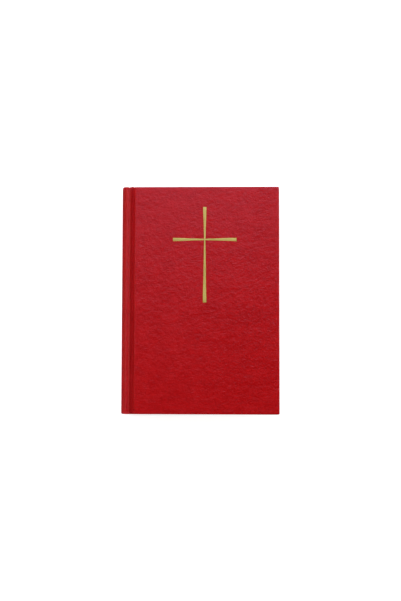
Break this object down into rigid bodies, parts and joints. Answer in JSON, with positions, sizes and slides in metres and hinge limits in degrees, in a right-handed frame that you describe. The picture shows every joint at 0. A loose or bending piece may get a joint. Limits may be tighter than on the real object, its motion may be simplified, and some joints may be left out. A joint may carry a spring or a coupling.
{
  "type": "hardcover prayer book",
  "caption": "Closed red case-bound prayer book, upright page format, rounded spine with joint grooves and a small gilt Latin cross high on the front cover.",
  "frame": {"origin": "centre of the bounding box in X and Y, on the outer face of the back cover that the closed book lies on (Z = 0)", "axes": "+X from the spine to the fore edge, +Y from the tail to the head of the book, +Z from the back cover up through the front cover, whose outer face is at Z = 0.033"},
  "size_m": [0.1409, 0.202, 0.033],
  "materials": {
    "red_cover": "fine-grained red imitation leather, satin",
    "gold_foil": "stamped matte gold foil",
    "grey_board": "grey binder's board",
    "spine_card": "flexible card",
    "page_paper": "thin cream book paper",
    "endpaper": "smooth ivory endpaper",
    "mull": "open-weave starched cotton",
    "thread": "linen sewing thread",
    "lining_paper": "brown kraft paper",
    "band_cloth": "striped red and cream cotton band"
  },
  "bodies": {
    "back_cover": {"back_board": "grey_board", "back_cover_cloth": "red_cover", "back_pastedown": "endpaper", "back_mull_flap": "mull", "back_flyleaf": "endpaper", "back_joint_cloth": "red_cover"},
    "spine": {"spine_inlay": "spine_card", "spine_cloth": "red_cover", "section_backs": "page_paper", "sewing_thread": "thread", "spine_mull": "mull", "spine_lining": "lining_paper", "head_band": "band_cloth", "tail_band": "band_cloth"},
    "front_hinge": {"front_joint_cloth": "red_cover"},
    "front_cover": {"front_board": "grey_board", "front_cover_cloth": "red_cover", "gilt_cross": "gold_foil", "front_pastedown": "endpaper", "front_mull_flap": "mull"},
    "front_leaf": {"front_flyleaf": "endpaper"},
    "leaves_01": {"section_01": "page_paper"},
    "leaves_02": {"section_02": "page_paper"},
    "leaves_03": {"section_03": "page_paper"},
    "leaves_04": {"section_04": "page_paper"},
    "leaves_05": {"section_05": "page_paper"},
    "leaves_06": {"section_06": "page_paper"},
    "leaves_07": {"section_07": "page_paper"},
    "leaves_08": {"section_08": "page_paper"},
    "leaves_09": {"section_09": "page_paper"},
    "leaves_10": {"section_10": "page_paper"},
    "leaves_11": {"section_11": "page_paper"},
    "leaves_12": {"section_12": "page_paper"},
    "leaves_13": {"section_13": "page_paper"},
    "leaves_14": {"section_14": "page_paper"},
    "leaves_15": {"section_15": "page_paper"},
    "leaves_16": {"section_16": "page_paper"},
    "leaves_17": {"section_17": "page_paper"},
    "leaves_18": {"section_18": "page_paper"},
    "leaves_19": {"section_19": "page_paper"},
    "leaves_20": {"section_20": "page_paper"},
    "leaves_21": {"section_21": "page_paper"},
    "leaves_22": {"section_22": "page_paper"},
    "leaves_23": {"section_23": "page_paper"},
    "leaves_24": {"section_24": "page_paper"},
    "leaves_25": {"section_25": "page_paper"},
    "leaves_26": {"section_26": "page_paper"},
    "leaves_27": {"section_27": "page_paper"},
    "leaves_28": {"section_28": "page_paper"},
    "leaves_29": {"section_29": "page_paper"},
    "leaves_30": {"section_30": "page_paper"},
    "leaves_31": {"section_31": "page_paper"},
    "leaves_32": {"section_32": "page_paper"}
  },
  "joints": [
    {"name": "book_open", "type": "hinge", "parent": "back_cover", "child": "spine", "pos_m": [-0.0677, 0, 0.00295], "axis": [0, -1, 0], "range_deg": [0, 90]},
    {"name": "front_joint_bend", "type": "hinge", "parent": "spine", "child": "front_hinge", "pos_m": [-0.0677, 0, 0.03005], "axis": [0, -1, 0], "range_deg": [0, 90]},
    {"name": "front_cover_swing", "type": "hinge", "parent": "front_hinge", "child": "front_cover", "pos_m": [-0.06045, 0, 0.03305], "axis": [0, -1, 0], "range_deg": [0, 180]},
    {"name": "flyleaf_lift", "type": "hinge", "parent": "front_hinge", "child": "front_leaf", "pos_m": [-0.06005, 0, 0.02944], "axis": [0, -1, 0], "range_deg": [0, 27]},
    {"name": "leaves_01_turn", "type": "hinge", "parent": "spine", "child": "leaves_01", "pos_m": [-0.06768, 0, 0.00297], "axis": [0, 1, 0], "range_deg": [0, 90]},
    {"name": "leaves_02_turn", "type": "hinge", "parent": "spine", "child": "leaves_02", "pos_m": [-0.06756, 0, 0.00309], "axis": [0, 1, 0], "range_deg": [0, 90]},
    {"name": "leaves_03_turn", "type": "hinge", "parent": "spine", "child": "leaves_03", "pos_m": [-0.06735, 0, 0.0033], "axis": [0, 1, 0], "range_deg": [0, 90]},
    {"name": "leaves_04_turn", "type": "hinge", "parent": "spine", "child": "leaves_04", "pos_m": [-0.06705, 0, 0.0036], "axis": [0, 1, 0], "range_deg": [0, 90]},
    {"name": "leaves_05_turn", "type": "hinge", "parent": "spine", "child": "leaves_05", "pos_m": [-0.06668, 0, 0.00397], "axis": [0, 1, 0], "range_deg": [0, 90]},
    {"name": "leaves_06_turn", "type": "hinge", "parent": "spine", "child": "leaves_06", "pos_m": [-0.06624, 0, 0.00441], "axis": [0, 1, 0], "range_deg": [0, 90]},
    {"name": "leaves_07_turn", "type": "hinge", "parent": "spine", "child": "leaves_07", "pos_m": [-0.06572, 0, 0.00493], "axis": [0, 1, 0], "range_deg": [0, 90]},
    {"name": "leaves_08_turn", "type": "hinge", "parent": "spine", "child": "leaves_08", "pos_m": [-0.06514, 0, 0.00551], "axis": [0, 1, 0], "range_deg": [0, 90]},
    {"name": "leaves_09_turn", "type": "hinge", "parent": "spine", "child": "leaves_09", "pos_m": [-0.0645, 0, 0.00615], "axis": [0, 1, 0], "range_deg": [0, 90]},
    {"name": "leaves_10_turn", "type": "hinge", "parent": "spine", "child": "leaves_10", "pos_m": [-0.06379, 0, 0.00686], "axis": [0, 1, 0], "range_deg": [0, 90]},
    {"name": "leaves_11_turn", "type": "hinge", "parent": "spine", "child": "leaves_11", "pos_m": [-0.06302, 0, 0.00764], "axis": [0, 1, 0], "range_deg": [0, 90]},
    {"name": "leaves_12_turn", "type": "hinge", "parent": "spine", "child": "leaves_12", "pos_m": [-0.06218, 0, 0.00847], "axis": [0, 1, 0], "range_deg": [0, 90]},
    {"name": "leaves_13_turn", "type": "hinge", "parent": "spine", "child": "leaves_13", "pos_m": [-0.06129, 0, 0.00936], "axis": [0, 1, 0], "range_deg": [0, 90]},
    {"name": "leaves_14_turn", "type": "hinge", "parent": "spine", "child": "leaves_14", "pos_m": [-0.06033, 0, 0.01031], "axis": [0, 1, 0], "range_deg": [0, 90]},
    {"name": "leaves_15_turn", "type": "hinge", "parent": "spine", "child": "leaves_15", "pos_m": [-0.05932, 0, 0.01133], "axis": [0, 1, 0], "range_deg": [0, 90]},
    {"name": "leaves_16_turn", "type": "hinge", "parent": "spine", "child": "leaves_16", "pos_m": [-0.05826, 0, 0.01239], "axis": [0, 1, 0], "range_deg": [0, 90]},
    {"name": "leaves_17_turn", "type": "hinge", "parent": "spine", "child": "leaves_17", "pos_m": [-0.05826, 0, 0.0206], "axis": [0, -1, 0], "range_deg": [0, 90]},
    {"name": "leaves_18_turn", "type": "hinge", "parent": "spine", "child": "leaves_18", "pos_m": [-0.05932, 0, 0.02167], "axis": [0, -1, 0], "range_deg": [0, 90]},
    {"name": "leaves_19_turn", "type": "hinge", "parent": "spine", "child": "leaves_19", "pos_m": [-0.06033, 0, 0.02269], "axis": [0, -1, 0], "range_deg": [0, 90]},
    {"name": "leaves_20_turn", "type": "hinge", "parent": "spine", "child": "leaves_20", "pos_m": [-0.06129, 0, 0.02364], "axis": [0, -1, 0], "range_deg": [0, 90]},
    {"name": "leaves_21_turn", "type": "hinge", "parent": "spine", "child": "leaves_21", "pos_m": [-0.06218, 0, 0.02453], "axis": [0, -1, 0], "range_deg": [0, 90]},
    {"name": "leaves_22_turn", "type": "hinge", "parent": "spine", "child": "leaves_22", "pos_m": [-0.06302, 0, 0.02536], "axis": [0, -1, 0], "range_deg": [0, 90]},
    {"name": "leaves_23_turn", "type": "hinge", "parent": "spine", "child": "leaves_23", "pos_m": [-0.06379, 0, 0.02614], "axis": [0, -1, 0], "range_deg": [0, 90]},
    {"name": "leaves_24_turn", "type": "hinge", "parent": "spine", "child": "leaves_24", "pos_m": [-0.0645, 0, 0.02685], "axis": [0, -1, 0], "range_deg": [0, 90]},
    {"name": "leaves_25_turn", "type": "hinge", "parent": "spine", "child": "leaves_25", "pos_m": [-0.06514, 0, 0.02749], "axis": [0, -1, 0], "range_deg": [0, 90]},
    {"name": "leaves_26_turn", "type": "hinge", "parent": "spine", "child": "leaves_26", "pos_m": [-0.06572, 0, 0.02807], "axis": [0, -1, 0], "range_deg": [0, 90]},
    {"name": "leaves_27_turn", "type": "hinge", "parent": "spine", "child": "leaves_27", "pos_m": [-0.06624, 0, 0.02859], "axis": [0, -1, 0], "range_deg": [0, 90]},
    {"name": "leaves_28_turn", "type": "hinge", "parent": "spine", "child": "leaves_28", "pos_m": [-0.06668, 0, 0.02903], "axis": [0, -1, 0], "range_deg": [0, 90]},
    {"name": "leaves_29_turn", "type": "hinge", "parent": "spine", "child": "leaves_29", "pos_m": [-0.06705, 0, 0.0294], "axis": [0, -1, 0], "range_deg": [0, 90]},
    {"name": "leaves_30_turn", "type": "hinge", "parent": "spine", "child": "leaves_30", "pos_m": [-0.06735, 0, 0.0297], "axis": [0, -1, 0], "range_deg": [0, 90]},
    {"name": "leaves_31_turn", "type": "hinge", "parent": "spine", "child": "leaves_31", "pos_m": [-0.06756, 0, 0.02991], "axis": [0, -1, 0], "range_deg": [0, 90]},
    {"name": "leaves_32_turn", "type": "hinge", "parent": "spine", "child": "leaves_32", "pos_m": [-0.06768, 0, 0.03003], "axis": [0, -1, 0], "range_deg": [0, 90]}
  ],
  "couplings": [
    {"joint": "front_joint_bend", "follows": "book_open", "ratio": 1},
    {"joint": "flyleaf_lift", "follows": "front_cover_swing", "ratio": 0.15},
    {"joint": "leaves_01_turn", "follows": "book_open", "ratio": 1},
    {"joint": "leaves_02_turn", "follows": "book_open", "ratio": 1},
    {"joint": "leaves_03_turn", "follows": "book_open", "ratio": 1},
    {"joint": "leaves_04_turn", "follows": "book_open", "ratio": 1},
    {"joint": "leaves_05_turn", "follows": "book_open", "ratio": 1},
    {"joint": "leaves_06_turn", "follows": "book_open", "ratio": 1},
    {"joint": "leaves_07_turn", "follows": "book_open", "ratio": 1},
    {"joint": "leaves_08_turn", "follows": "book_open", "ratio": 1},
    {"joint": "leaves_09_turn", "follows": "book_open", "ratio": 1},
    {"joint": "leaves_10_turn", "follows": "book_open", "ratio": 1},
    {"joint": "leaves_11_turn", "follows": "book_open", "ratio": 1},
    {"joint": "leaves_12_turn", "follows": "book_open", "ratio": 1},
    {"joint": "leaves_13_turn", "follows": "book_open", "ratio": 1},
    {"joint": "leaves_14_turn", "follows": "book_open", "ratio": 1},
    {"joint": "leaves_15_turn", "follows": "book_open", "ratio": 1},
    {"joint": "leaves_16_turn", "follows": "book_open", "ratio": 1},
    {"joint": "leaves_17_turn", "follows": "book_open", "ratio": 1},
    {"joint": "leaves_18_turn", "follows": "book_open", "ratio": 1},
    {"joint": "leaves_19_turn", "follows": "book_open", "ratio": 1},
    {"joint": "leaves_20_turn", "follows": "book_open", "ratio": 1},
    {"joint": "leaves_21_turn", "follows": "book_open", "ratio": 1},
    {"joint": "leaves_22_turn", "follows": "book_open", "ratio": 1},
    {"joint": "leaves_23_turn", "follows": "book_open", "ratio": 1},
    {"joint": "leaves_24_turn", "follows": "book_open", "ratio": 1},
    {"joint": "leaves_25_turn", "follows": "book_open", "ratio": 1},
    {"joint": "leaves_26_turn", "follows": "book_open", "ratio": 1},
    {"joint": "leaves_27_turn", "follows": "book_open", "ratio": 1},
    {"joint": "leaves_28_turn", "follows": "book_open", "ratio": 1},
    {"joint": "leaves_29_turn", "follows": "book_open", "ratio": 1},
    {"joint": "leaves_30_turn", "follows": "book_open", "ratio": 1},
    {"joint": "leaves_31_turn", "follows": "book_open", "ratio": 1},
    {"joint": "leaves_32_turn", "follows": "book_open", "ratio": 1}
  ]
}
